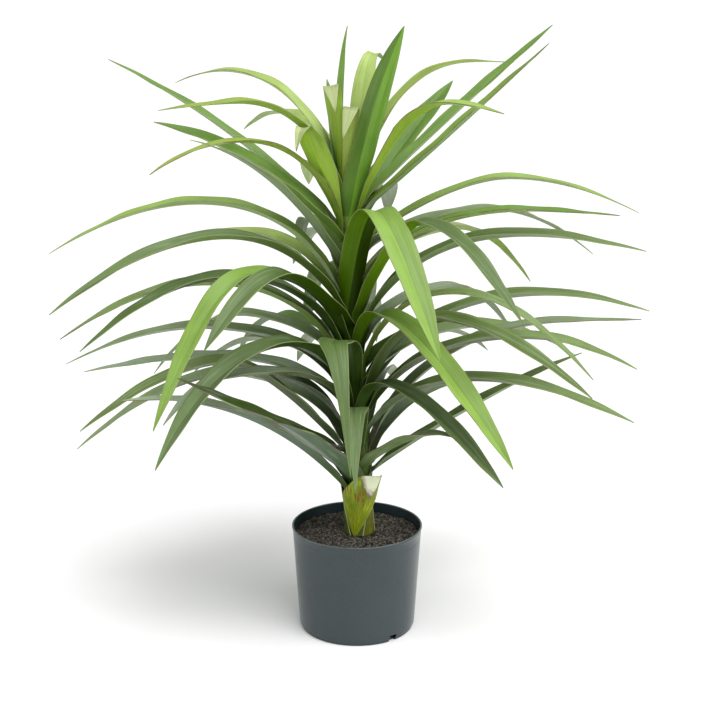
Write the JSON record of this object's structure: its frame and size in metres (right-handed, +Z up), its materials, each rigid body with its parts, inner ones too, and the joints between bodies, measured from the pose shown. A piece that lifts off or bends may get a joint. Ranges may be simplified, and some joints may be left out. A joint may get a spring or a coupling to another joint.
{
  "type": "potted artificial yucca",
  "caption": "Potted artificial yucca: a short leaning stem with arching strap leaves all round and an upright tip, standing in a round tapered pot filled with soil.",
  "frame": {"origin": "centre of the pot's flat underside, where the plant stands", "axes": "+Z up along the pot's axis, -Y towards the viewer of the picture, +X to that viewer's right"},
  "size_m": [0.7631, 0.6158, 0.7736],
  "materials": {
    "pot": "satin dark blue-grey moulded pot",
    "soil": "matt dark brown moulded imitation soil with fine grains",
    "stem": "matt olive green moulded stem with leaf scars",
    "sheath": "yellow-green leaf base with red-brown streaks",
    "leaf_young": "satin yellow-green strap leaf with fine veins",
    "leaf_grown": "satin mid green strap leaf with fine veins",
    "leaf_old": "satin dark bluish green strap leaf with a grey underside"
  },
  "bodies": {
    "root": {"pot": "pot", "soil": "soil", "stem": "stem", "sheath": "sheath", "tip_tuft": "leaf_young", "leaf_left_1": "leaf_young", "leaf_left_2": "leaf_young", "leaf_left_3": "leaf_young", "leaf_left_4": "leaf_grown", "leaf_left_5": "leaf_grown", "leaf_left_6": "leaf_grown", "leaf_left_7": "leaf_grown", "leaf_left_8": "leaf_grown", "leaf_left_9": "leaf_old", "leaf_left_10": "leaf_old", "leaf_left_11": "leaf_old", "leaf_left_12": "leaf_old", "leaf_left_13": "leaf_old", "leaf_left_14": "leaf_old", "leaf_front_1_rise": "leaf_young", "leaf_front_1_fall": "leaf_young", "leaf_front_2": "leaf_grown", "leaf_front_3": "leaf_grown", "leaf_front_4": "leaf_grown", "leaf_front_5": "leaf_grown", "leaf_front_6_rise": "leaf_grown", "leaf_front_6_fall": "leaf_grown", "leaf_front_7": "leaf_old", "leaf_front_8": "leaf_old", "leaf_front_9": "leaf_old", "leaf_front_10": "leaf_old", "leaf_front_11": "leaf_old", "leaf_right_1": "leaf_young", "leaf_right_2": "leaf_young", "leaf_right_3": "leaf_grown", "leaf_right_4": "leaf_grown", "leaf_right_5": "leaf_grown", "leaf_right_6": "leaf_old", "leaf_right_7": "leaf_grown", "leaf_right_8": "leaf_old", "leaf_right_9": "leaf_grown", "leaf_right_10": "leaf_old", "leaf_right_11": "leaf_old", "leaf_right_12": "leaf_old", "leaf_back_1": "leaf_young", "leaf_back_2": "leaf_young", "leaf_back_3": "leaf_young", "leaf_back_4": "leaf_grown", "leaf_back_5": "leaf_grown", "leaf_back_6": "leaf_grown", "leaf_back_7": "leaf_grown", "leaf_back_8": "leaf_grown", "leaf_back_9": "leaf_old", "leaf_back_10": "leaf_old", "leaf_back_11": "leaf_old", "leaf_back_12": "leaf_old", "leaf_back_13": "leaf_old", "leaf_back_14": "leaf_old"}
  },
  "joints": []
}
